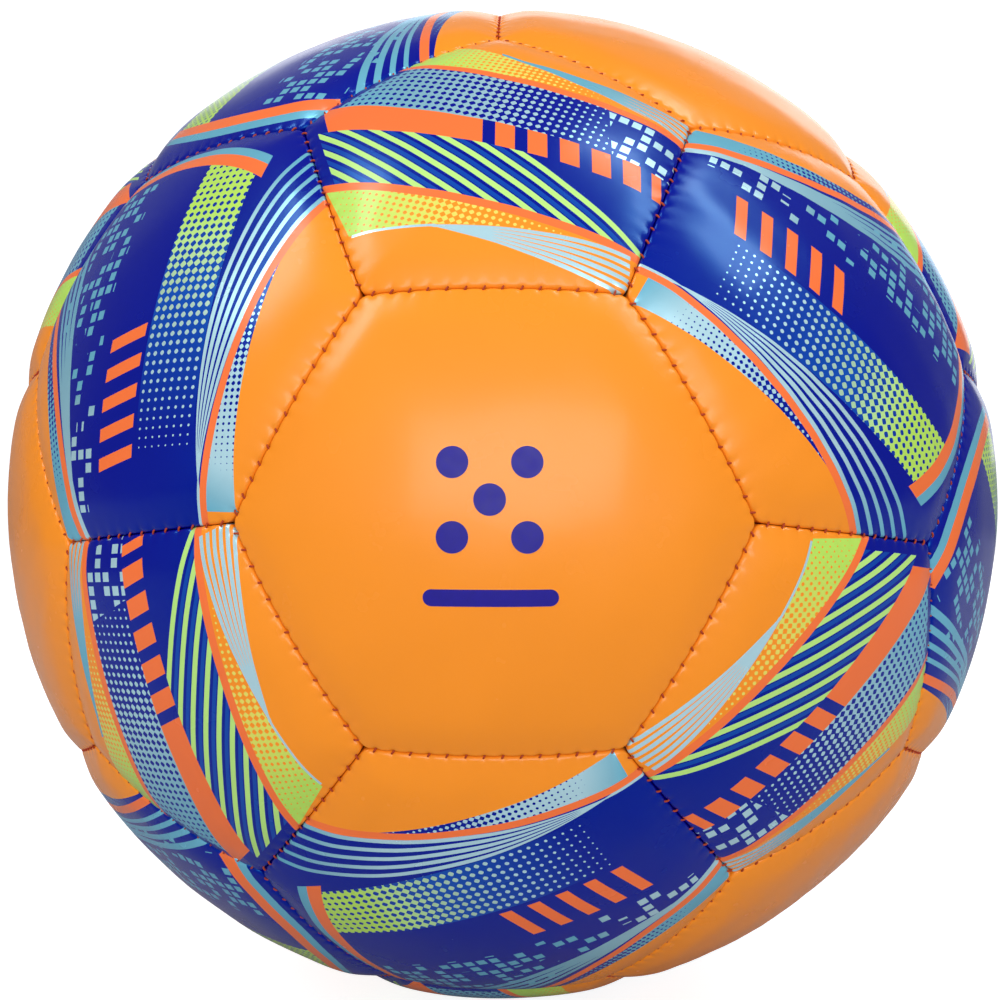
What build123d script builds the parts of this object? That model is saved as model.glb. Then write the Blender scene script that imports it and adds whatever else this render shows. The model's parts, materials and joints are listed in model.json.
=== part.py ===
"""Size 5 football as it comes apart on a bench.

32 cover panels (20 hexagons and 12 pentagons of a truncated icosahedron) with turned-in seam
allowances, the foam pad and lining cloth behind each one, 90 lock-stitched seams, a butyl bladder
and its valve. Millimetres. The origin is the ball's centre and +Z is up. One plain hexagon faces -Y
with a pentagon straight above it, and the valve is in the opposite hexagon, on +Y.

Each piece is modelled on +Z, as if its panel or seam were on top of the ball, and then placed.
"""

import os
from itertools import product
from math import atan, degrees, radians, sin, sqrt, tan

from build123d import *

# Driving dimensions
CIRCUMFERENCE = 690.0
COVER_THICKNESS = 1.1
FOAM_THICKNESS = 3.2
LINING_THICKNESS = 0.7
PATCH_THICKNESS = 0.3
BLADDER_THICKNESS = 0.6
LAYER_GAP = 0.05

SEAM_GAP = 0.3
ROLL_RADIUS = 2.5
CORNER_RADIUS = 3.0
FLANGE_DEPTH = 5.3
PAD_CORNER_RADIUS = 2.0
FOAM_EDGE_RADIUS = 1.0

STITCHES_PER_SEAM = 14
STITCH_PITCH = 2.85
THREAD_RADIUS = 0.3
THREAD_TAIL = 0.5
CROSS_THREAD_RADIUS = 0.28
NEEDLE_HOLE_RADIUS = 0.4
THREAD_CLEARANCE = 0.05

VALVE_HOLE_RADIUS = 4.5
VALVE_NECK_RADIUS = 4.2
VALVE_HEAD_RECESS = 0.5
VALVE_RIM_RADIUS = 0.8
VALVE_BASE_RADIUS = 15.0
VALVE_BASE_THICKNESS = 0.9
VALVE_STEM_RADIUS = 5.5
VALVE_STEM_LENGTH = 13.0
VALVE_PATCH_RADIUS = 18.0
CORE_RADIUS = 2.5
CORE_CLEARANCE = 0.02
CORE_HEAD_RECESS = 0.7
NEEDLE_BORE_RADIUS = 1.0
NEEDLE_LEAD_IN = 0.8

# Radii that follow from them, from the outside in
BALL_RADIUS = CIRCUMFERENCE / radians(360)
FLANGE_END_RADIUS = BALL_RADIUS - FLANGE_DEPTH
STITCH_RADIUS = (BALL_RADIUS - ROLL_RADIUS + FLANGE_END_RADIUS) / 2
FOAM_RADIUS = BALL_RADIUS - COVER_THICKNESS - LAYER_GAP
LINING_RADIUS = FOAM_RADIUS - FOAM_THICKNESS - LAYER_GAP
PATCH_RADIUS = LINING_RADIUS - LINING_THICKNESS - LAYER_GAP
BLADDER_RADIUS = PATCH_RADIUS - PATCH_THICKNESS - LAYER_GAP
BLADDER_INNER_RADIUS = BLADDER_RADIUS - BLADDER_THICKNESS
VALVE_BASE_OUTER_RADIUS = BLADDER_INNER_RADIUS - LAYER_GAP

# Distances from the seam's middle plane to the flange's inner face, the thread and the pads
FLANGE_FACE = SEAM_GAP / 2 + COVER_THICKNESS
THREAD_OFFSET = FLANGE_FACE + THREAD_CLEARANCE + THREAD_RADIUS
PAD_SETBACK = THREAD_OFFSET + THREAD_RADIUS + THREAD_CLEARANCE

# Angles at the ball's centre, in degrees
STITCH_STEP = degrees(STITCH_PITCH / STITCH_RADIUS)
HALF_SEAM = STITCH_STEP * (STITCHES_PER_SEAM - 1) / 2
HALF_THREAD = HALF_SEAM + degrees(THREAD_TAIL / STITCH_RADIUS)
NEIGHBOUR_ANGLE = 45.0

# The truncated icosahedron
GOLDEN = (1 + sqrt(5)) / 2
RADIUS_IN_EDGES = sqrt(9 * GOLDEN + 10) / 2
FRONT_HEXAGON = Vector(1, 1, 1).normalized()
PENTAGON_ABOVE = Vector(0, 1, GOLDEN)
FRONT_VIEW = Plane((0, 0, 0), x_dir=PENTAGON_ABOVE.cross(FRONT_HEXAGON), z_dir=FRONT_HEXAGON)
SAME_DIRECTION = 0.01

# Keeps a sphere's poles and seam line off the top of the ball, where the pieces are modelled
ON_ITS_SIDE = (90, 0, 0)
FROM_CENTRE = (Align.CENTER, Align.CENTER, Align.MIN)


def to_row(direction):
    """A direction of the golden-ratio solid, turned to put the front hexagon on -Y."""
    seen = FRONT_VIEW.to_local_coords(direction.normalized())
    return Vector(seen.X, -seen.Z, seen.Y)


def signed_cycles(x, y, z):
    """The different directions made by cycling x, y, z and changing signs, from front to back."""
    found = []
    for signs in product((1, -1), repeat=3):
        a, b, c = (sign * size for sign, size in zip(signs, (x, y, z)))
        for cycled in ((a, b, c), (b, c, a), (c, a, b)):
            axis = to_row(Vector(*cycled))
            if all((axis - other).length > SAME_DIRECTION for other in found):
                found.append(axis)
    return sorted(found, key=lambda axis: (round(axis.Y, 3), -round(axis.Z, 3), round(axis.X, 3)))


def side_angle(side_count):
    """The angle from a panel's axis to the middle of one of its sides."""
    half_turn = radians(180) / side_count
    apothem = 0.5 / tan(half_turn)
    circumradius = 0.5 / sin(half_turn)
    return degrees(atan(apothem / sqrt(RADIUS_IN_EDGES**2 - circumradius**2)))


def seam_plane(side_count, side):
    """The plane through the ball's centre and one side of a panel on +Z, facing into the panel."""
    turned = Rotation(0, 0, side * 360 / side_count) * Rotation(0, side_angle(side_count), 0)
    return Plane(turned * Plane((0, 0, 0), x_dir=(0, 0, 1), z_dir=(-1, 0, 0)).location)


def make_wedge(side_count, outer_radius, inner_radius, setback, corner_radius, rim_radius=0.0):
    """A piece of ball shell on +Z, cut by the seam planes after moving each inwards by setback."""
    with BuildPart() as shell_wedge:
        Sphere(outer_radius, rotation=ON_ITS_SIDE)
        Sphere(inner_radius, rotation=ON_ITS_SIDE, mode=Mode.SUBTRACT)
        for side in range(side_count):
            split(bisect_by=seam_plane(side_count, side).offset(setback), keep=Keep.TOP)
        fillet(shell_wedge.edges().filter_by(GeomType.LINE), corner_radius)
        if rim_radius:
            fillet(shell_wedge.faces().sort_by(Axis.Z)[-1].edges(), rim_radius)
    return shell_wedge.part


def needle_hole_planes(side_count):
    """A plane at each needle hole of a panel on +Z, facing across the seam."""
    planes = []
    for side in range(side_count):
        seam = seam_plane(side_count, side)
        across = Axis((0, 0, 0), seam.z_dir)
        for stitch in range(STITCHES_PER_SEAM):
            outwards = seam.x_dir.rotate(across, stitch * STITCH_STEP - HALF_SEAM)
            planes.append(Plane(outwards * STITCH_RADIUS, z_dir=seam.z_dir))
    return planes


def make_cover(side_count):
    """A cover panel on +Z: a domed skin whose edges roll over into flanges with needle holes."""
    with BuildPart() as cover:
        add(make_wedge(side_count, BALL_RADIUS, FLANGE_END_RADIUS, SEAM_GAP / 2,
                       CORNER_RADIUS, ROLL_RADIUS))
        add(make_wedge(side_count, BALL_RADIUS - COVER_THICKNESS, FLANGE_END_RADIUS - ROLL_RADIUS,
                       FLANGE_FACE, CORNER_RADIUS - COVER_THICKNESS, ROLL_RADIUS - COVER_THICKNESS),
            mode=Mode.SUBTRACT)
        with Locations(*needle_hole_planes(side_count)):
            Cylinder(NEEDLE_HOLE_RADIUS, 3 * FLANGE_FACE, mode=Mode.SUBTRACT)
    return cover.part


def make_pad(side_count, outer_radius, thickness, rim_radius=0.0):
    """The foam pad or lining cloth behind a panel on +Z."""
    with BuildPart() as pad:
        add(make_wedge(side_count, outer_radius, outer_radius - thickness, PAD_SETBACK,
                       PAD_CORNER_RADIUS, rim_radius))
    return pad.part


def make_seam_thread():
    """A lock-stitched seam through +Z: a thread pulled flat behind each flange, joined through the holes."""
    flat_offset = THREAD_OFFSET - THREAD_RADIUS / 2
    with BuildPart() as thread:
        with BuildSketch(Plane.XZ.rotated((-HALF_THREAD, 0, 0))):
            with Locations((-THREAD_OFFSET, STITCH_RADIUS), (THREAD_OFFSET, STITCH_RADIUS)):
                Circle(THREAD_RADIUS)
            with Locations((-flat_offset, STITCH_RADIUS), (flat_offset, STITCH_RADIUS)):
                Rectangle(THREAD_RADIUS, 2 * THREAD_RADIUS)
        revolve(axis=Axis.X, revolution_arc=2 * HALF_THREAD)
        for stitch in range(STITCHES_PER_SEAM):
            with Locations(Rotation(stitch * STITCH_STEP - HALF_SEAM, 0, 0) * Pos(0, 0, STITCH_RADIUS)):
                Cylinder(CROSS_THREAD_RADIUS, 2 * THREAD_OFFSET, rotation=(0, 90, 0))
    return thread.part


def make_shell_disc(disc_radius, outer_radius, thickness):
    """A round piece of ball shell on +Z."""
    with BuildPart() as disc:
        Sphere(outer_radius, rotation=ON_ITS_SIDE)
        Sphere(outer_radius - thickness, rotation=ON_ITS_SIDE, mode=Mode.SUBTRACT)
        Cylinder(disc_radius, outer_radius, align=FROM_CENTRE, mode=Mode.INTERSECT)
    return disc.part


def add_valve_hole(radius=VALVE_HOLE_RADIUS):
    """Cuts the valve's hole through the piece being built, on +Z."""
    Cylinder(radius, 2 * BALL_RADIUS, align=FROM_CENTRE, mode=Mode.SUBTRACT)


def facing(axis, neighbour):
    """Where a piece modelled on +Z goes: its Z along axis, and its X towards a neighbour's axis."""
    return Plane((0, 0, 0), x_dir=neighbour - axis * axis.dot(neighbour), z_dir=axis).location


def nearest(axis, others):
    """The closest of the other panels' axes."""
    return min(others, key=lambda other: (other - axis).length)


PLAIN_HEXAGONS = signed_cycles(1, 1, 1)
PRINTED_HEXAGONS = signed_cycles(0, GOLDEN, 1 / GOLDEN)
HEXAGONS = PLAIN_HEXAGONS + PRINTED_HEXAGONS
PENTAGONS = signed_cycles(0, 1, GOLDEN)
VALVE_HEXAGON = PLAIN_HEXAGONS[-1]
VALVE_PLACE = facing(VALVE_HEXAGON, nearest(VALVE_HEXAGON, PENTAGONS))


def hexagon_places():
    """Where the hexagons go, the valve's last."""
    ordered = [axis for axis in HEXAGONS if axis is not VALVE_HEXAGON]
    return [facing(axis, nearest(axis, PENTAGONS)) for axis in ordered]


def pentagon_places():
    """Where the pentagons go."""
    return [facing(axis, nearest(axis, HEXAGONS)) for axis in PENTAGONS]


def seam_places(others):
    """Where the seams between the hexagons and these others go: Z through the middle, X across."""
    places = []
    for number, axis in enumerate(HEXAGONS):
        later = others[number + 1:] if others is HEXAGONS else others
        for other in later:
            if axis.get_angle(other) < NEIGHBOUR_ANGLE:
                places.append(facing(axis, other) * Rotation(0, side_angle(6), 0))
    return places


def write(piece, label):
    """Labels a finished piece and writes its STEP file."""
    piece.label = label
    export_step(piece, f"parts/{label}.step")


os.makedirs("parts", exist_ok=True)

# Covers
hexagon_cover = make_cover(6)
pentagon_cover = make_cover(5)
cover_names = [("front_hexagon", PLAIN_HEXAGONS[0])]
cover_names += [(f"plain_hexagon_{n}", axis) for n, axis in enumerate(PLAIN_HEXAGONS[1:-1], 1)]
cover_names += [(f"printed_hexagon_{n:02}", axis) for n, axis in enumerate(PRINTED_HEXAGONS, 1)]
for name, panel_axis in cover_names:
    write(facing(panel_axis, nearest(panel_axis, PENTAGONS)) * hexagon_cover, name)
for number, place in enumerate(pentagon_places(), 1):
    write(place * pentagon_cover, f"printed_pentagon_{number:02}")

with BuildPart() as valve_hexagon:
    add(hexagon_cover)
    add_valve_hole()
write(VALVE_PLACE * valve_hexagon.part, "valve_hexagon")

# Foam pads and lining cloths, with the valve's hole through the pair behind the valve hexagon
for layer, outer, thickness, rim in (
    ("foam_pads", FOAM_RADIUS, FOAM_THICKNESS, FOAM_EDGE_RADIUS),
    ("lining_cloths", LINING_RADIUS, LINING_THICKNESS, 0.0),
):
    hexagon_pad = make_pad(6, outer, thickness, rim)
    pentagon_pad = make_pad(5, outer, thickness, rim)
    with BuildPart() as valve_pad:
        add(hexagon_pad)
        add_valve_hole()
    pads = [place * hexagon_pad for place in hexagon_places()] + [VALVE_PLACE * valve_pad.part]
    write(Compound([solid for pad in pads for solid in pad.solids()]), f"hexagon_{layer}")
    pads = [place * pentagon_pad for place in pentagon_places()]
    write(Compound([solid for pad in pads for solid in pad.solids()]), f"pentagon_{layer}")

# Seams
seam_thread = make_seam_thread()
for name, others in (("hexagon_seam_threads", HEXAGONS), ("pentagon_seam_threads", PENTAGONS)):
    threads = [place * seam_thread for place in seam_places(others)]
    write(Compound([solid for thread in threads for solid in thread.solids()]), name)

# Bladder
with BuildPart() as bladder:
    Sphere(BLADDER_RADIUS, rotation=ON_ITS_SIDE)
    Sphere(BLADDER_INNER_RADIUS, rotation=ON_ITS_SIDE, mode=Mode.SUBTRACT)
    add_valve_hole()
write(VALVE_PLACE * bladder.part, "bladder")

# Patch that holds the bladder to the lining around the valve
with BuildPart() as valve_patch:
    add(make_shell_disc(VALVE_PATCH_RADIUS, PATCH_RADIUS, PATCH_THICKNESS))
    add_valve_hole()
write(VALVE_PLACE * valve_patch.part, "valve_patch")

# Valve housing: a base bonded inside the bladder, a neck out to the cover and a stem inside
head_height = BALL_RADIUS - VALVE_HEAD_RECESS
neck_foot = VALVE_BASE_OUTER_RADIUS - VALVE_BASE_THICKNESS
stem_foot = VALVE_BASE_OUTER_RADIUS - VALVE_STEM_LENGTH
with BuildPart() as valve_body:
    add(make_shell_disc(VALVE_BASE_RADIUS, VALVE_BASE_OUTER_RADIUS, VALVE_BASE_THICKNESS))
    with Locations((0, 0, neck_foot)):
        Cylinder(VALVE_NECK_RADIUS, head_height - neck_foot, align=FROM_CENTRE)
    with Locations((0, 0, stem_foot)):
        Cylinder(VALVE_STEM_RADIUS, neck_foot - stem_foot + VALVE_BASE_THICKNESS / 2, align=FROM_CENTRE)
    end_rims = valve_body.edges().filter_by(GeomType.CIRCLE).sort_by(Axis.Z)
    fillet([end_rims[0], end_rims[-1]], VALVE_RIM_RADIUS)
    add_valve_hole(CORE_RADIUS + CORE_CLEARANCE)
write(VALVE_PLACE * valve_body.part, "valve_body")

# The soft plug in the housing, with its needle bore held open at the needle's size
core_head = BALL_RADIUS - CORE_HEAD_RECESS
with BuildPart() as valve_core:
    with Locations((0, 0, stem_foot)):
        Cylinder(CORE_RADIUS, core_head - stem_foot, align=FROM_CENTRE)
    add_valve_hole(NEEDLE_BORE_RADIUS)
    mouth = valve_core.edges().filter_by(GeomType.CIRCLE).group_by(Axis.Z)[-1].sort_by(SortBy.RADIUS)[0]
    chamfer(mouth, NEEDLE_LEAD_IN)
write(VALVE_PLACE * valve_core.part, "valve_core")
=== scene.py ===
"""The football's looks: puffed cover panels with a printed pattern, and stitched seams."""

import json
from itertools import product
from math import cos, pi, radians, sin, sqrt, tan

import bpy
import bmesh
import numpy as np
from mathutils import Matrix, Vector


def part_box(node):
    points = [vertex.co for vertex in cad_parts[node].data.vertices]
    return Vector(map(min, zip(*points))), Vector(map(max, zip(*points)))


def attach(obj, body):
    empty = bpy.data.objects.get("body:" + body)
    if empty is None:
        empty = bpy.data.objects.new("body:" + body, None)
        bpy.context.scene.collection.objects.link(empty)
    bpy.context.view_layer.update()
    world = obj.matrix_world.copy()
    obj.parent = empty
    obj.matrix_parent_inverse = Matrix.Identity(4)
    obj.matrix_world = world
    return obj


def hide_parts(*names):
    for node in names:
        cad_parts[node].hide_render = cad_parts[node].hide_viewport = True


with open("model.json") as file:
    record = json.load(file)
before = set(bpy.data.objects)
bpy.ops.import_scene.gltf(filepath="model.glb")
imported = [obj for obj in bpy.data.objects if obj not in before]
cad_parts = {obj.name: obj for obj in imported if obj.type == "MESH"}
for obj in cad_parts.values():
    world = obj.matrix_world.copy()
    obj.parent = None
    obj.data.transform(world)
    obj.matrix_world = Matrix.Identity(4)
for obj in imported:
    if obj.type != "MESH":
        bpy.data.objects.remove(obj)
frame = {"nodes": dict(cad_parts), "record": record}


def note_size():
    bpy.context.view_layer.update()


note_size()

# ---------------------------------------------------------------- sizes, in millimetres
MM = 0.001
BALL = 690.0 / (2 * pi)
SEAM_HALF_GAP = 0.05
ROLL_WIDTH = 0.65
ROLL_DEPTH = 0.5
PUFF_WIDTH = 15.0
PUFF_DEPTH = 0.35
SHOULDER_WIDTH = 5.5
SHOULDER_BEND = 1.1
SHOULDER_SLOPE = 0.19
WALL_DEPTH = 3.2
SKIN_THICKNESS = 1.1
CORNER_BLEND = 0.45
STITCHES = 14
STITCH_PITCH = 3.12
STITCH_DIP = 0.3
DIP_ALONG_SEAM = 0.48
DIP_ACROSS_SEAM = 0.85
SWELL_HEIGHT = 0.03
SWELL_REACH = 1.8
CREASES_PER_SEAM = 3
WAVE_HEIGHT = 0.035
STEPS_PER_STITCH = 8
THREAD = 0.18
THREAD_SUNK = 1.86
THREAD_END_DROP = 0.45
THREAD_ARCH = 0.3
VALVE_HOLE = 4.5
VALVE_LIP_START = 1.12
VALVE_LIP_ROUND = 0.12
VALVE_HOLE_DEPTH = 1.3
RINGED_WIDTH = 12
MARK_RISE = 0.03
MARK_ROOT = 0.25
MARK_CELL = 1.5

# ---------------------------------------------------------------- the 32 panels
GOLDEN = (1 + sqrt(5)) / 2
FRONT = np.ones(3) / sqrt(3)
ABOVE = np.array([0, 1, GOLDEN]) / sqrt(GOLDEN + 2)
PRINTED = np.array([0, GOLDEN, 1 / GOLDEN]) / sqrt(3)
RIGHT = np.cross(ABOVE, FRONT)
RIGHT /= np.linalg.norm(RIGHT)
TO_ROW = np.array([RIGHT, -FRONT, np.cross(FRONT, RIGHT)])


def turns():
    """The 12 rotations that carry the printed pattern onto itself."""
    for shift in range(3):
        cycled = np.roll(np.eye(3), shift, axis=1)
        for a, b in product((1, -1), repeat=2):
            yield np.diag((a, b, a * b)) @ cycled


def stand(axis, down):
    """The rotation that takes a panel modelled on +Z, with its foot towards -Y, to its place."""
    foot = down - axis * (down @ axis)
    up = -foot / np.linalg.norm(foot)
    return np.array([np.cross(up, axis), up, axis]).T


def panel_places():
    """(kind, rotation) of every panel, in the row frame."""
    places = []
    for turn in turns():
        hexagon, pentagon, foot = (TO_ROW @ turn @ v for v in (PRINTED, ABOVE, FRONT))
        places.append(("printed_hexagon", stand(hexagon, foot)))
        places.append(("printed_pentagon", stand(pentagon, foot)))
    pentagons = [turn @ ABOVE for turn in turns()]
    for corner in product((1, -1), repeat=3):
        axis = np.array(corner) / sqrt(3)
        up = ABOVE if axis @ FRONT > 0.99 else max(pentagons, key=lambda p: p @ axis)
        places.append(("plain_hexagon", stand(TO_ROW @ axis, -(TO_ROW @ up))))
    return places


class Panel:
    """Sample points of a panel on +Z, with their distances to its seams."""

    def __init__(self, side_count, hole=0.0):
        self.side_count = side_count
        half_turn = pi / side_count
        edges = sqrt(9 * GOLDEN + 10) / 2
        apothem = 0.5 / tan(half_turn)
        self.side_angle = np.arctan(apothem / sqrt(edges**2 - (0.5 / sin(half_turn)) ** 2))
        turn = -pi / 2 + 2 * half_turn * np.arange(side_count)
        side, rise = np.sin(self.side_angle), np.cos(self.side_angle)
        self.middles = np.stack([np.cos(turn) * side, np.sin(turn) * side, rise + 0 * turn], 1)
        self.inwards = np.stack([-np.cos(turn) * rise, -np.sin(turn) * rise, side + 0 * turn], 1)
        self.along = np.cross(self.inwards, self.middles)
        steps = STITCHES * STEPS_PER_STITCH + 8
        share = (np.arange(steps) + 0.5) / steps * 2 - 1
        one_side = np.arctan(share * tan(half_turn))
        self.bearings = (turn[:, None] + one_side).ravel()
        self.build_rings(hole)

    def distances(self, directions):
        """Distance from each direction to each seam, in millimetres along the ball."""
        return BALL * np.arcsin(np.clip(directions @ self.inwards.T, -1, 1))

    def edge_distance(self, directions):
        """Distance to the panel's outline, which is rounded at the corners."""
        to_seams = self.distances(directions)
        nearest = to_seams.min(-1, keepdims=True)
        return nearest[..., 0] - CORNER_BLEND * np.log(
            np.exp((nearest - to_seams) / CORNER_BLEND).sum(-1))

    def ring_at(self, distance):
        """Directions at this distance inside the outline, one on each bearing."""
        flat = np.stack([np.cos(self.bearings), np.sin(self.bearings)], 1)
        low, high = np.zeros(len(flat)), np.full(len(flat), 0.6)
        for _ in range(30):
            middle = (low + high) / 2
            inside = self.edge_distance(self.raise_flat(flat * middle[:, None])) > distance
            low, high = np.where(inside, middle, low), np.where(inside, high, middle)
        return flat * low[:, None]

    @staticmethod
    def raise_flat(flat):
        """Unit directions of points on the plane that touches the unit ball on +Z."""
        direction = np.concatenate([flat, np.ones(flat.shape[:-1] + (1,))], -1)
        return direction / np.linalg.norm(direction, axis=-1, keepdims=True)

    def build_rings(self, hole):
        """Rings of points from the foot of the seam wall over the rolled edge to the middle."""
        roll = np.linspace(0, pi / 2, 8)
        wall = np.array([WALL_DEPTH, WALL_DEPTH * 0.55, WALL_DEPTH * 0.2])
        near = SEAM_HALF_GAP + ROLL_WIDTH + RINGED_WIDTH * np.linspace(0, 1, 17)[1:] ** 1.35
        inset = [SEAM_HALF_GAP] * 3 + list(SEAM_HALF_GAP + ROLL_WIDTH * (1 - np.cos(roll)))
        sunk = list(ROLL_DEPTH + wall) + list(ROLL_DEPTH * (1 - np.sin(roll)))
        rings = [self.ring_at(d) for d in inset] + [self.ring_at(d) for d in near]
        sunk += [0.0] * len(near)
        last = rings[-1]
        bearing = last / np.linalg.norm(last, axis=1, keepdims=True)
        hub = bearing * tan((hole * VALVE_LIP_START or 0.6) / BALL)
        for share in np.linspace(1, 0, 10)[1:]:
            rings.append(hub * (1 - share) + last * share)
            sunk.append(0.0)
        if hole:
            for turn in np.linspace(0, pi / 2, 6)[1:]:
                radius = hole * VALVE_LIP_START - hole * VALVE_LIP_ROUND * sin(turn)
                rings.append(bearing * tan(radius / BALL))
                sunk.append(hole * VALVE_LIP_ROUND * (1 - cos(turn)))
            rings.append(rings[-1])
            sunk.append(VALVE_HOLE_DEPTH)
        skin = SEAM_HALF_GAP + SKIN_THICKNESS
        back = [rings[-1]] if hole else [hub]
        back.append(hub * 0.5 + self.ring_at(RINGED_WIDTH) * 0.5)
        back += [self.ring_at(distance) for distance in (RINGED_WIDTH / 2, skin + 1, skin)]
        rings = back + rings
        sunk = [SKIN_THICKNESS] * 3 + [SKIN_THICKNESS * 1.3, ROLL_DEPTH + WALL_DEPTH] + sunk
        self.flat = np.array(rings)
        self.sunk = np.repeat(np.array(sunk)[:, None], len(self.bearings), 1)
        self.directions = self.raise_flat(self.flat)
        self.hole = hole

    def heights(self, directions, sunk, seed):
        """Distance from the ball's centre in these directions: puffed, pinched by stitches, wavy."""
        to_seams = self.distances(directions)
        edge = np.maximum(self.edge_distance(directions), 0)
        height = BALL - sunk
        fade = np.clip(1 - to_seams / PUFF_WIDTH, 0, 1.1)
        height = height - PUFF_DEPTH * (fade**2.6).sum(-1) ** 0.75
        beyond = np.exp((SHOULDER_WIDTH - edge) / SHOULDER_BEND)
        height = height - SHOULDER_SLOPE * SHOULDER_BEND * np.log(1 + beyond)
        rng = np.random.default_rng(seed)
        for side in range(self.side_count):
            seam = BALL * np.arctan2(directions @ self.along[side], directions @ self.middles[side])
            away = np.clip(to_seams[..., side], 0, None)
            shift, depth = rng.normal(0, 0.09, STITCHES), rng.normal(1, 0.16, STITCHES)
            for stitch in range(STITCHES):
                at = (stitch - (STITCHES - 1) / 2) * STITCH_PITCH + shift[stitch]
                reach = np.exp(-((seam - at) / DIP_ALONG_SEAM) ** 2 - (away / DIP_ACROSS_SEAM) ** 2)
                height = height - STITCH_DIP * depth[stitch] * reach
            swell = np.cos(2 * pi * seam / STITCH_PITCH + pi * (STITCHES - 1))
            inside = np.abs(seam) < STITCH_PITCH * STITCHES / 2
            height = height - SWELL_HEIGHT * swell * np.exp(-away / SWELL_REACH) * inside
            for _ in range(CREASES_PER_SEAM):
                at, wide = rng.uniform(-19, 19), rng.uniform(1.6, 3.2)
                crease = np.exp(-((seam - at) / wide) ** 2 - (away / rng.uniform(4, 8)) ** 2)
                height = height - rng.uniform(-0.03, 0.05) * crease
        quiet = np.clip(edge / 6, 0, 1) * 0.6 + 0.4
        wave = sum(np.sin(directions @ rng.normal(0, 26, 3) + rng.uniform(0, 6.3)) for _ in range(4))
        return height + WAVE_HEIGHT * wave * quiet


def new_mesh(name, points, faces, uv=None, caps=()):
    """A smooth mesh object from arrays of points in metres, quads, and caps of any number of corners."""
    mesh = bpy.data.meshes.new(name)
    mesh.vertices.add(len(points))
    mesh.vertices.foreach_set("co", np.asarray(points, np.float32).ravel())
    corners = np.concatenate([faces.ravel(), *caps]).astype(np.int32)
    totals = np.array([4] * len(faces) + [len(cap) for cap in caps], np.int32)
    mesh.loops.add(len(corners))
    mesh.loops.foreach_set("vertex_index", corners)
    mesh.polygons.add(len(totals))
    mesh.polygons.foreach_set("loop_start", np.cumsum(totals, dtype=np.int32) - totals)
    mesh.polygons.foreach_set("loop_total", totals)
    mesh.polygons.foreach_set("use_smooth", np.ones(len(totals), bool))
    if uv is not None:
        layer = mesh.uv_layers.new(name="panel")
        layer.data.foreach_set("uv", uv[corners].astype(np.float32).ravel())
    mesh.update(calc_edges=True)
    mesh.validate()
    thing = bpy.data.objects.new(name, mesh)
    bpy.context.scene.collection.objects.link(thing)
    return thing


def grid_faces(rows, columns):
    """Quads of a grid of rows by columns that closes on itself along each row."""
    row, column = np.meshgrid(np.arange(rows - 1), np.arange(columns), indexing="ij")
    here, beside = row * columns + column, row * columns + (column + 1) % columns
    return np.stack([here, beside, beside + columns, here + columns], -1).reshape(-1, 4)


def build_panel(name, panel, rotation, seed, material):
    """One cover panel, standing for the CAD piece in the same place."""
    rings, bearings = panel.sunk.shape
    heights = panel.heights(panel.directions, panel.sunk, seed)
    points = (panel.directions * heights[..., None]).reshape(-1, 3) @ rotation.T
    faces, caps = grid_faces(rings, bearings), []
    if panel.hole:
        last = np.arange(bearings) + (rings - 1) * bearings
        first = np.arange(bearings)
        closing = np.stack([last, np.roll(last, -1), np.roll(first, -1), first], 1)
        faces = np.concatenate([faces, closing])
    else:
        caps = [np.arange(bearings)[::-1], np.arange(bearings) + (rings - 1) * bearings]
    thing = new_mesh(name + "_skin", points * MM, faces, panel.flat.reshape(-1, 2) * BALL * MM, caps)
    thing.data.materials.append(material)
    return thing


def seam_frames(places, panels):
    """(middle, along, across, both sides hexagons) of each of the 90 seams, in the row frame."""
    seams = {}
    for kind, rotation in places:
        panel = panels[kind]
        for middle, along, inward in zip(panel.middles, panel.along, panel.inwards):
            key = tuple(np.round(rotation @ middle, 3) + 0.0)
            hexagons = seams[key][3] + 1 if key in seams else 0
            if panel.side_count == 5:
                hexagons = -5
            seams[key] = (rotation @ middle, rotation @ along, rotation @ inward, hexagons)
    return seams.values()


def stitch_tube(middle, along, across, at, rng):
    """Rings of points of one stitch: a thread that arches over the crease from hole to hole."""
    lean, reach = rng.normal(0.36, 0.06), rng.normal(0.7, 0.04)
    share = np.linspace(-1, 1, 9)
    side = share * reach
    lift = BALL - THREAD_SUNK - THREAD_END_DROP * np.abs(share) ** 3 + THREAD_ARCH * (1 - share**2)
    seam = at + lean * share + 0.05 * rng.normal()
    lift = lift - 0.9 * (np.abs(share) > 0.95)
    turn = seam / BALL
    up = np.cos(turn)[:, None] * middle + np.sin(turn)[:, None] * along
    path = up * lift[:, None] + across * side[:, None]
    heading = np.gradient(path, axis=0)
    heading /= np.linalg.norm(heading, axis=1, keepdims=True)
    sideways = np.cross(heading, up)
    sideways /= np.linalg.norm(sideways, axis=1, keepdims=True)
    upright = np.cross(sideways, heading)
    rings = []
    for turn in np.linspace(0, 2 * pi, 9)[:-1]:
        rings.append(path + THREAD * (cos(turn) * sideways + sin(turn) * upright))
    return np.stack(rings, 1)


def build_stitches(name, seams, material):
    """The stitches of these seams as one piece."""
    rng = np.random.default_rng(7)
    points, faces, caps = [], [], []
    count = 0
    for middle, along, across, _ in seams:
        for stitch in range(STITCHES):
            at = (stitch - (STITCHES - 1) / 2) * STITCH_PITCH
            tube = stitch_tube(middle, along, across, at, rng)
            rows, columns = tube.shape[:2]
            points.append(tube.reshape(-1, 3))
            faces.append(grid_faces(rows, columns) + count)
            caps += [np.arange(columns)[::-1] + count, np.arange(columns) + count + (rows - 1) * columns]
            count += rows * columns
    thing = new_mesh(name, np.concatenate(points) * MM, np.concatenate(faces), None, caps)
    thing.data.materials.append(material)
    return thing


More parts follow.
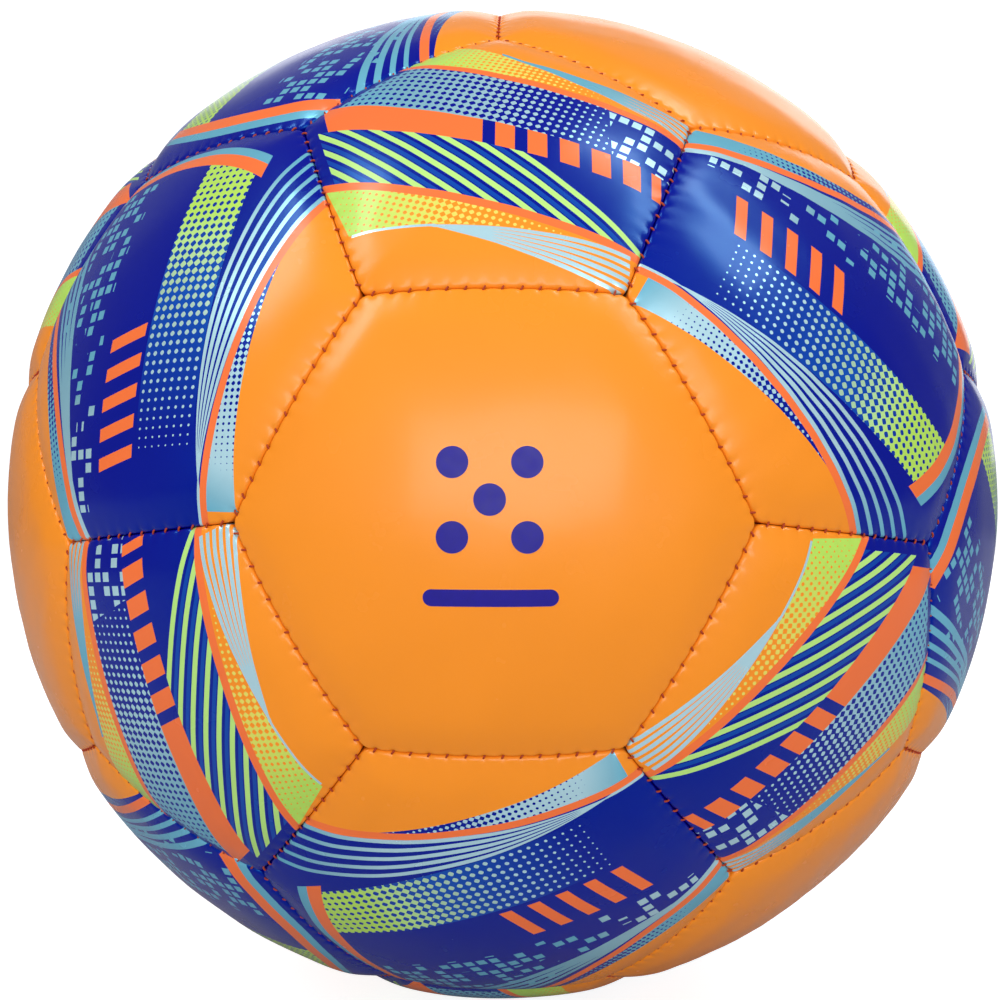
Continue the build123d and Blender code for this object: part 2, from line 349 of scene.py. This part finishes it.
# ---------------------------------------------------------------- shader arithmetic
class Value:
    """A number made by shader nodes. Arithmetic on it adds math nodes to its tree."""

    def __init__(self, tree, socket):
        self.tree, self.socket = tree, socket

    def __add__(self, other): return math_node("ADD", self, other)
    def __radd__(self, other): return math_node("ADD", self, other)
    def __sub__(self, other): return math_node("SUBTRACT", self, other)
    def __rsub__(self, other): return math_node("SUBTRACT", other, self)
    def __mul__(self, other): return math_node("MULTIPLY", self, other)
    def __rmul__(self, other): return math_node("MULTIPLY", self, other)
    def __truediv__(self, other): return math_node("DIVIDE", self, other)
    def __abs__(self): return math_node("ABSOLUTE", self)
    def __neg__(self): return math_node("MULTIPLY", self, -1.0)


def math_node(operation, *numbers):
    tree = next(n.tree for n in numbers if isinstance(n, Value))
    node = tree.nodes.new("ShaderNodeMath")
    node.operation = operation
    for socket, number in zip(node.inputs, numbers):
        if isinstance(number, Value):
            tree.links.new(number.socket, socket)
        else:
            socket.default_value = number
    return Value(tree, node.outputs[0])


def less(a, b): return math_node("LESS_THAN", a, b)
def more(a, b): return math_node("GREATER_THAN", a, b)
def low(a, b): return math_node("MINIMUM", a, b)
def high(a, b): return math_node("MAXIMUM", a, b)
def root(a): return math_node("SQRT", a)
def wave(a): return math_node("COSINE", a)
def whole(a): return math_node("FLOOR", a)
def part(a): return a - whole(a)
def clip01(a): return low(high(a, 0.0), 1.0)


def within(value, low_end, high_end):
    """1 between the two ends and 0 outside."""
    return more(value, low_end) * less(value, high_end)


def noise(tree, vector, scale, detail=2.0, rough=0.5):
    node = tree.nodes.new("ShaderNodeTexNoise")
    node.inputs["Scale"].default_value = scale
    node.inputs["Detail"].default_value = detail
    node.inputs["Roughness"].default_value = rough
    tree.links.new(vector, node.inputs["Vector"])
    return Value(tree, node.outputs["Fac"])


class Coats:
    """Colour laid over colour, each coat where its mask is 1."""

    def __init__(self, tree, colour):
        self.tree = tree
        self.colour = colour

    def lay(self, mask, colour):
        node = self.tree.nodes.new("ShaderNodeMix")
        node.data_type = "RGBA"
        for socket, given in ((node.inputs[0], mask), (node.inputs[6], self.colour), (node.inputs[7], colour)):
            if isinstance(given, Value):
                self.tree.links.new(given.socket, socket)
            elif isinstance(given, bpy.types.NodeSocket):
                self.tree.links.new(given, socket)
            else:
                socket.default_value = given
        self.colour = node.outputs[2]

    def blend(self, share, first, second):
        """A colour between two, for laying next."""
        kept = self.colour
        self.colour = first
        self.lay(share, second)
        mixed, self.colour = self.colour, kept
        return mixed


def ink(red, green, blue):
    """A colour given as screen values from 0 to 255."""
    return tuple((v / 255) ** 2.2 for v in (red, green, blue)) + (1.0,)


ORANGE = ink(248, 144, 38)
CORAL = ink(246, 116, 60)
NAVY = ink(10, 7, 138)
BLUE = ink(24, 84, 178)
TEAL = ink(112, 184, 208)
PALE = ink(188, 226, 236)
LIME = ink(180, 222, 94)
YELLOW = ink(228, 216, 98)
MINT = ink(182, 228, 126)
MARK = ink(24, 0, 136)
PEARL = 0.35


# ---------------------------------------------------------------- materials
def new_material(name):
    material = bpy.data.materials.new(name)
    material.use_nodes = True
    tree = material.node_tree
    return material, tree, tree.nodes["Principled BSDF"]


def skin_material(name, pattern=None):
    """Glossy grained PVC, plain or printed."""
    material, tree, shader = new_material(name)
    place = tree.nodes.new("ShaderNodeTexCoord")
    where = place.outputs["Object"]
    coats = Coats(tree, ORANGE)
    if pattern:
        uv = tree.nodes.new("ShaderNodeUVMap")
        uv.uv_map = "panel"
        split = tree.nodes.new("ShaderNodeSeparateXYZ")
        tree.links.new(uv.outputs[0], split.inputs[0])
        pattern(Value(tree, split.outputs[0]) * 1000.0, Value(tree, split.outputs[1]) * 1000.0, coats)
    mottle = noise(tree, where, 38.0, 3.0)
    shade = tree.nodes.new("ShaderNodeHueSaturation")
    if pattern:
        tree.links.new(coats.colour, shade.inputs["Color"])
    else:
        shade.inputs["Color"].default_value = ORANGE
    tree.links.new((mottle * 0.10 + 0.95).socket, shade.inputs["Value"])
    tree.links.new(shade.outputs[0], shader.inputs["Base Color"])
    if pattern:
        # The light inks are pearly: they shine like metal where both green and blue are strong
        channels = tree.nodes.new("ShaderNodeSeparateColor")
        tree.links.new(coats.colour, channels.inputs[0])
        pearl = Value(tree, channels.outputs[1]) * Value(tree, channels.outputs[2])
        tree.links.new((clip01((pearl - 0.2) * 5.0) * PEARL).socket, shader.inputs["Metallic"])
        # The blue ink shines in its own hue
        blueness = clip01((Value(tree, channels.outputs[2]) - Value(tree, channels.outputs[0])) * 4.0)
        tree.links.new((blueness * 0.45 + 0.3).socket, shader.inputs["Specular IOR Level"])
        tint = Coats(tree, (1.0, 1.0, 1.0, 1.0))
        tint.lay(blueness, (0.03, 0.5, 1.0, 1.0))
        tree.links.new(tint.colour, shader.inputs["Specular Tint"])
    smears = noise(tree, where, 95.0, 3.0, 0.6)
    tree.links.new((smears * 0.10 + 0.21).socket, shader.inputs["Roughness"])
    shader.inputs["Coat Weight"].default_value = 0.05
    shader.inputs["Coat Roughness"].default_value = 0.1
    if not pattern:
        shader.inputs["Specular IOR Level"].default_value = 0.32
    grain = noise(tree, where, 2600.0, 1.0)
    ripple = noise(tree, where, 210.0, 2.0)
    bump = tree.nodes.new("ShaderNodeBump")
    bump.inputs["Strength"].default_value = 0.35
    bump.inputs["Distance"].default_value = 0.00006
    tree.links.new((grain * 0.35 + ripple).socket, bump.inputs["Height"])
    tree.links.new(bump.outputs[0], shader.inputs["Normal"])
    return material


def simple_material(name, colour, roughness, grain_scale, grain_depth):
    """An even material with mottled colour and a fine grain."""
    material, tree, shader = new_material(name)
    where = tree.nodes.new("ShaderNodeTexCoord").outputs["Object"]
    shade = tree.nodes.new("ShaderNodeHueSaturation")
    shade.inputs["Color"].default_value = colour
    tree.links.new((noise(tree, where, grain_scale * 0.4) * 0.3 + 0.85).socket, shade.inputs["Value"])
    tree.links.new(shade.outputs[0], shader.inputs["Base Color"])
    tree.links.new((noise(tree, where, grain_scale * 0.2) * 0.2 + roughness).socket, shader.inputs["Roughness"])
    shader.inputs["Specular IOR Level"].default_value = 0.3
    bump = tree.nodes.new("ShaderNodeBump")
    bump.inputs["Strength"].default_value = 0.5
    bump.inputs["Distance"].default_value = grain_depth
    tree.links.new(noise(tree, where, grain_scale).socket, bump.inputs["Height"])
    tree.links.new(bump.outputs[0], shader.inputs["Normal"])
    return material


# ---- prints
def halftone(along, across, pitch, amount):
    """1 in the light part of a screen of dots; amount runs from 0, none, to 1, solid."""
    turn = 6.2832 / pitch
    return more(wave(along * turn) + wave(across * turn), 2.0 - amount * 4.0)


def squares(x, y, size, seed, scarcity):
    """1 in plain squares of an even grid; scarcity runs from 0, one in every cell, to 1, none."""
    column, line = whole(x / size), whole(y / size)
    chance = part(wave(column * 12.99 + line * 78.23 + seed) * 437.58)
    away = high(abs(x / size - column - 0.5), abs(y / size - line - 0.5))
    return less(away, 0.34) * more(chance, scarcity)


def hexagon_print(x, y, coats):
    """The pattern of a printed hexagon, in millimetres from its middle, with its foot towards -y."""
    # Deep blue field between the two bundles of lines
    left = x + 43.0
    climb = (x + y) * 0.0118 + 0.567
    steep = left * 0.025 + 0.8
    stripe = (y + 5.0 - left * 0.8 - left * left * 0.0125) / root(steep * steep + 1.0)
    floor = y + 26.2 - x * 0.265 + x * x * 0.0035
    coats.lay(less(stripe, 0.0) * more(floor, 0.0), NAVY)

    # Plain light squares that thin out across the field
    u, v = x * 0.891 + y * 0.454, y * 0.891 - x * 0.454
    far = clip01((u + 12.0) / 16.0)
    scarcity = abs(v - 12.0 - far * 4.5) * (0.11 - far * 0.07) + 0.3
    paint = coats.blend(clip01((-12.0 - u) / 8.0), TEAL, PALE)
    field = within(u, -37.0, 32.0) * less(stripe, -1.6) * more(v, 8.5 + far * 1.5)
    coats.lay(field * squares(u, v, 2.7, 1.7, scarcity), paint)

    # A row of plain straight bars
    run = u + v * 0.25
    coats.lay(less(part(run / 5.6) * 5.6, 2.5) * within(run, -28.0, 0.0) * within(v, -3.2, 6.0), CORAL)

    # The wide band of dots, from none at the left to lime at the right
    rim = x - 33.0 + (y + 3.0) * (y + 3.0) * 0.0098
    band = within(v, -18.1, -4.2) * less(rim, 0.0) * more(u, -27.0)
    coats.lay(band * (0.8 - abs(u - 4.0) / 34.0), BLUE)
    dots = halftone(u, v, 1.7, low(u * 0.0128 + 0.375, 0.76))
    coats.lay(band * dots, coats.blend(clip01((u + 10.0) / 30.0), PALE, LIME))

    # Orange and light arcs at the right
    slope = (y + 3.0) * 0.0196
    rim = rim / root(slope * slope + 1.0)
    ends = more(y + 22.0 - x * 0.5, 0.0) * less(y - 20.0 - x * 1.5, 0.0)
    coats.lay(within(rim, 0.0, 3.2) * ends, CORAL)
    coats.lay(within(rim, 3.2, 5.4) * ends, TEAL)

    # Fan of light lines towards the lower right
    width = high(floor - (y + 20.3 - x * 0.49 + x * x * 0.0047), 0.01)
    fade = clip01((x - 20.0) / 20.0)
    thick = low(high(width * 0.075 - 0.05, 0.14), 0.48)
    for share in (0.0, 0.25, 0.5, 0.75, 1.0):
        lift = abs(floor - width * share - 0.5 + share)
        coats.lay(less(lift, thick) * more(floor, 0.0), coats.blend(fade, PALE, TEAL))

    # Fan of light lines towards the top
    spread = high(climb * 2.75 - 0.35, 0.1)
    for number in (1.0, 2.0, 3.0, 4.0):
        lift = abs(stripe + 1.3 + spread * number)
        coats.lay(less(lift, 0.4 + number * 0.08) * less(stripe, -0.8), coats.blend(clip01(climb), PALE, TEAL))

    # Thin coral lines beside both, and the light swooshes beyond them
    coats.lay(less(abs(stripe), 1.0), CORAL)
    coats.lay(within(floor, -1.7, 0.0), CORAL)
    swoosh = y + 31.0 - x * 0.42 + x * x * 0.0035
    inside = less(floor, -1.6) * more(swoosh, 0.0) * more(x + 27.0 + (y + 30.0) * 0.42, 0.0)
    light = halftone(u, v, 1.2, 0.96 - (x + 15.0) * 0.026)
    coats.lay(inside, NAVY)
    coats.lay(inside * light, coats.blend(clip01((x + 24.0) / 9.0), TEAL, PALE))
    inside = within(stripe, 1.0, 6.4 - climb * 4.6) * more(left + 4.0, 0.0)
    light = halftone(x * 0.7 + y * 0.7, y * 0.7 - x * 0.7, 1.25, 1.0 - (x + 38.0) * 0.04)
    coats.lay(inside, NAVY)
    coats.lay(inside * light, TEAL)


def pentagon_print(x, y, coats):
    """The pattern of a printed pentagon, in millimetres from its middle, with its foot towards -y."""
    # Deep blue field, with a corner of it at the left
    under = y + 15.8 + x * 0.31 + x * x * 0.0011
    over = y - 17.0 + x * 0.41 - x * x * 0.0012
    coats.lay(more(under, 0.0) * less(over, 0.0), NAVY)

    # Straight lime stripes with blue ones between; the blue ones, laid at 0.6 over the deep blue, are partly a
    # lighter blue ink and partly painted blue sheen
    upper = y - 3.2 + x * 0.345 - x * x * 0.001
    lower = y + 2.9 + x * 0.31
    slant = x + y * 1.1
    line = part(slant / 4.2) * 4.2
    zone = less(lower, 0.0) * more(under, 0.0) * more(x + 31.0 + (y + 1.0) * 0.32, 0.0) * less(slant, 0.0)
    coats.lay(zone * within(line, 0.4, 1.6) * 0.6, BLUE)
    coats.lay(zone * more(line, 2.6), MINT)

    # Coral band with plain slots
    end = more(x + 29.4 + y * 0.283, 0.0) * less(x, 30.0)
    slot = more(part(x / 5.6) * 5.6, 3.4) * more(x, -5.6)
    coats.lay(less(upper, 0.0) * more(lower, 0.0) * end * (1.0 - slot), CORAL)

    # The wide band of dots, with plain squares between it and the seam at the right
    along, across = x * 0.94 - y * 0.342, x * 0.342 + y * 0.94
    dots = halftone(along, across, 1.55, 0.5 - x * 0.0095 - high(x, 0.0) * 0.0105)
    field = more(upper, 0.0) * less(over, 0.0)
    shade = coats.blend(clip01((x + 26.0) / 30.0), TEAL, PALE)
    coats.lay(field * less(y - 36.9 - x * 0.74, 0.0) * less(x, 20.0) * dots, shade)
    coats.lay(field * within(x, 20.5, 33.0) * squares(along, across, 2.6, 5.3, 0.35), PALE)

    # Coral line and the lime wedge of dots above the field, fading into orange
    coats.lay(within(over, 0.0, 1.8), CORAL)
    crest = y - 26.9 + x * 0.78 - x * x * 0.005
    dots = halftone(along, across, 1.2, 0.62 - x * 0.031)
    coats.lay(more(over, 1.8) * less(crest, 0.0) * dots, coats.blend(clip01((x + 10.0) / 16.0), LIME, YELLOW))

    # Fan of blue-grey lines beyond it
    top = y - 26.6 + x * 0.55 - x * x * 0.004
    foot = y - 26.8 + x * 0.76 - x * x * 0.0033
    width = high(foot - top, 0.01)
    for share in (0.0, 0.25, 0.5, 0.75, 1.0):
        lift = abs(foot - width * share - 0.45 + share * 0.9)
        shade = coats.blend(clip01((x - 16.0) / 20.0), TEAL, PALE)
        coats.lay(less(lift, 0.52) * more(x, 1.0) * more(crest, 0.0), shade)

    # The same again below the field: coral line, lime wedge and a fan of light lines
    coats.lay(within(under, -1.75, 0.0), CORAL)
    sill = y + 20.9 + x * 0.1 + x * x * 0.003
    dots = halftone(along, across, 1.3, 0.32 - x * 0.023)
    wedge = less(under, -1.75) * more(sill, 0.0) * more(x + 34.5 + y * 0.43, 0.0) * less(x, 12.0)
    coats.lay(wedge * dots, coats.blend(clip01((x + 24.0) / 18.0), LIME, YELLOW))
    base = high(y + 24.4 + x * 0.36 + x * x * 0.001, sill + 0.5)
    width = high(base - sill, 0.01)
    inside = more(base, 0.0) * less(sill, 0.0) * within(x, -25.2, 24.0)
    thick = low(high(width * 0.06 + 0.04, 0.26), 0.42)
    for share in (0.0, 0.2, 0.4, 0.6, 0.8, 1.0):
        lift = abs(base - width * share - 0.4 + share * 0.8)
        coats.lay(less(lift, thick) * inside, PALE)


# ---------------------------------------------------------------- the ball
panels = {
    "printed_hexagon": Panel(6),
    "plain_hexagon": Panel(6),
    "valve_hexagon": Panel(6, VALVE_HOLE),
    "printed_pentagon": Panel(5),
}
materials = {
    "printed_hexagon": skin_material("printed_hexagon_pvc", hexagon_print),
    "printed_pentagon": skin_material("printed_pentagon_pvc", pentagon_print),
    "plain_hexagon": skin_material("plain_orange_pvc"),
}
materials["valve_hexagon"] = materials["plain_hexagon"]
# Orange thread, coloured darker than its own orange: painted shade of the deep crease it lies in
thread = simple_material("orange_thread_with_painted_shade", ink(168, 64, 36), 0.6, 3000.0, 0.00004)

cover_nodes = [n for n in frame["nodes"] if "hexagon_" in n or "pentagon_" in n or n.endswith("_hexagon")]
cover_nodes = [n for n in cover_nodes if "pads" not in n and "cloths" not in n and "threads" not in n]
middles = {n: (np.array(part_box(n)[0]) + np.array(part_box(n)[1])) / 2 for n in cover_nodes}
middles = {n: m / np.linalg.norm(m) for n, m in middles.items()}
places = panel_places()
for seed, (kind, rotation) in enumerate(places):
    node = max(cover_nodes, key=lambda n: middles[n] @ rotation[:, 2])
    look = "valve_hexagon" if node == "valve_hexagon" else kind
    skin = build_panel(node, panels[look], rotation, seed, materials[look])
    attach(skin, "root")
    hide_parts(node)

seams = list(seam_frames(places, panels))
for name, group in (("hexagon_seam_threads", [s for s in seams if s[3] >= 0]),
                    ("pentagon_seam_threads", [s for s in seams if s[3] < 0])):
    stitches = build_stitches(name.replace("threads", "stitches"), group, thread)
    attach(stitches, "root")
    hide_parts(name)

inner = {
    "foam": simple_material("white_foam", ink(236, 234, 224), 0.7, 1500.0, 0.0001),
    "lining": simple_material("lining_cloth", ink(214, 210, 198), 0.8, 2200.0, 0.0001),
    "bladder": simple_material("butyl_rubber", ink(28, 28, 30), 0.5, 600.0, 0.00005),
    "valve": simple_material("valve_rubber", ink(34, 34, 36), 0.42, 1800.0, 0.00005),
    "valve_plug": simple_material("plug_rubber", ink(88, 88, 90), 0.5, 2400.0, 0.00004),
}
for row in frame["record"]["subparts"]:
    if row["material_slot"] in inner:
        node = frame["nodes"][row["node"]]
        node.data.materials.clear()
        node.data.materials.append(inner[row["material_slot"]])

# ---------------------------------------------------------------- marks on the front panel
def pips(middle, spread, radius):
    """Five discs, set as on a die, as a flat bmesh in millimetres."""
    flat = bmesh.new()
    for a, b in ((0, 0), (1, 1), (-1, 1), (-1, -1), (1, -1)):
        rim = [(middle[0] + a * spread + radius * cos(turn), middle[1] + b * spread + radius * sin(turn), 0)
               for turn in np.linspace(0, 2 * pi, 41)[:-1]]
        flat.faces.new([flat.verts.new(point) for point in rim])
    return flat


def bar(middle, size):
    """A bar with round ends as a flat bmesh in millimetres."""
    flat = bmesh.new()
    radius = size[1] / 2
    rim = []
    for side, start in ((1, -pi / 2), (-1, pi / 2)):
        for turn in start + np.linspace(0, pi, 17):
            rim.append((middle[0] + side * (size[0] / 2 - radius) + radius * cos(turn),
                        middle[1] + radius * sin(turn), 0))
    flat.faces.new([flat.verts.new(point) for point in rim])
    return flat


def build_mark(name, flat, rotation, panel, seed, colour):
    """Ink printed on a panel: a thin layer that follows its surface."""
    for axis in ((1, 0, 0), (0, 1, 0)):
        for place in np.arange(-24, 24, MARK_CELL):
            geometry = flat.verts[:] + flat.edges[:] + flat.faces[:]
            bmesh.ops.bisect_plane(flat, geom=geometry, plane_co=np.array(axis) * place, plane_no=axis)
    bmesh.ops.triangulate(flat, faces=flat.faces[:])
    flat.verts.index_update()
    spots = np.array([v.co[:2] for v in flat.verts])
    directions = panel.raise_flat(spots / BALL)
    surface = panel.heights(directions, 0.0, seed)
    upper = directions * (surface + MARK_RISE)[:, None] @ rotation.T
    under = directions * (surface - MARK_ROOT)[:, None] @ rotation.T
    count = len(spots)
    faces = [[v.index for v in face.verts] for face in flat.faces]
    sides = [[edge.verts[0].index, edge.verts[1].index] for edge in flat.edges if len(edge.link_faces) == 1]
    flat.free()
    faces += [[v + count for v in face[::-1]] for face in faces]
    faces += [[a, b, b + count, a + count] for a, b in sides]
    mesh = bpy.data.meshes.new(name)
    mesh.from_pydata(np.concatenate([upper, under]) * MM, [], faces)
    shell = bmesh.new()
    shell.from_mesh(mesh)
    bmesh.ops.recalc_face_normals(shell, faces=shell.faces)
    shell.to_mesh(mesh)
    shell.free()
    mesh.shade_smooth()
    mesh.set_sharp_from_angle(angle=radians(40))
    mark = bpy.data.objects.new(name, mesh)
    bpy.context.scene.collection.objects.link(mark)
    mark.data.materials.append(simple_material(name + "_ink", colour, 0.35, 2600.0, 0.00001))
    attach(mark, "root")


front_seed = next(seed for seed, (kind, rotation) in enumerate(places)
                  if kind == "plain_hexagon" and rotation[:, 2] @ (TO_ROW @ FRONT) > 0.99)
front = (places[front_seed][1], panels["plain_hexagon"], front_seed)
build_mark("pips_mark", pips((-0.45, 4.2), 6.0, 2.6), *front, MARK)
build_mark("bar_mark", bar((-0.3, -11.6), (22.0, 2.8)), *front, MARK)

# ---------------------------------------------------------------- floor, lights and camera
R = BALL * MM


CAMERA_AZIMUTH = radians(0.83)
CAMERA_ELEVATION = radians(1.84)
CAMERA_DISTANCE = 3.07 * R


def studio_paper():
    """Pale matt paper that stays even behind the ball."""
    material, tree, shader = new_material("studio_paper")
    where = tree.nodes.new("ShaderNodeTexCoord").outputs["Object"]
    shader.inputs["Base Color"].default_value = ink(182, 183, 186)
    shader.inputs["Specular IOR Level"].default_value = 0.2
    tree.links.new((noise(tree, where, 400.0) * 0.1 + 0.8).socket, shader.inputs["Roughness"])
    seen = Value(tree, tree.nodes.new("ShaderNodeLightPath").outputs["Is Camera Ray"])
    shader.inputs["Emission Color"].default_value = (1, 1, 1, 1)
    tree.links.new((seen * 0.85).socket, shader.inputs["Emission Strength"])
    return material


def make_floor():
    """A pale sweep: a floor that curves up into a wall behind the ball."""
    profile = [(-3.0, 0.0), (1.6, 0.0)]
    profile += [(1.6 + 0.8 * sin(a), 0.8 - 0.8 * cos(a)) for a in np.linspace(0, pi / 2, 24)[1:]]
    profile.append((2.4, 4.0))
    points = [(x, y, z - R) for y, z in profile for x in (-4.0, 4.0)]
    faces = np.array([[2 * i, 2 * i + 1, 2 * i + 3, 2 * i + 2] for i in range(len(profile) - 1)])
    floor = new_mesh("studio_floor", points, faces)
    floor.data.materials.append(studio_paper())


def area_light(name, where, size, power):
    data = bpy.data.lights.new(name, "AREA")
    data.shape = "RECTANGLE"
    data.size, data.size_y = size
    data.energy = power
    lamp = bpy.data.objects.new(name, data)
    bpy.context.scene.collection.objects.link(lamp)
    lamp.location = where
    lamp.rotation_euler = (-Vector(where)).to_track_quat("-Z", "Y").to_euler()


make_floor()
area_light("left_softbox", (-0.66, -0.40, 0.90), (0.2, 0.7), 4)
area_light("right_softbox", (0.62, -0.22, 1.0), (0.17, 0.8), 4.5)
area_light("front_softbox", (0.15, -2.6, 0.45), (2.2, 1.1), 34)
area_light("back_softbox", (0.2, 1.4, 0.5), (1.6, 1.0), 7)

world = bpy.data.worlds.new("studio") if bpy.context.scene.world is None else bpy.context.scene.world
bpy.context.scene.world = world
world.use_nodes = True
sky = world.node_tree
facing = sky.nodes.new("ShaderNodeSeparateXYZ")
sky.links.new(sky.nodes.new("ShaderNodeTexCoord").outputs["Generated"], facing.inputs[0])
sky.nodes["Background"].inputs[0].default_value = (0.96, 0.98, 1.0, 1.0)
glow = clip01(-Value(sky, facing.outputs[1])) * 0.65 + 0.16
seen = Value(sky, sky.nodes.new("ShaderNodeLightPath").outputs["Is Camera Ray"])
sky.links.new((glow + seen * (1.05 - glow)).socket, sky.nodes["Background"].inputs[1])

camera = bpy.data.objects.new("camera", bpy.data.cameras.new("camera"))
bpy.context.scene.collection.objects.link(camera)
back = Vector((sin(CAMERA_AZIMUTH) * cos(CAMERA_ELEVATION),
               -cos(CAMERA_AZIMUTH) * cos(CAMERA_ELEVATION), sin(CAMERA_ELEVATION)))
camera.location = back * CAMERA_DISTANCE
camera.rotation_euler = (-back).to_track_quat("-Z", "Y").to_euler()
camera.data.lens = 51.7
camera.data.sensor_width = 36.0
camera.data.shift_x = -0.0025
camera.data.shift_y = 0.0038
camera.data.clip_start = 0.01
bpy.context.scene.camera = camera
bpy.context.scene.view_settings.view_transform = "Standard"

note_size()
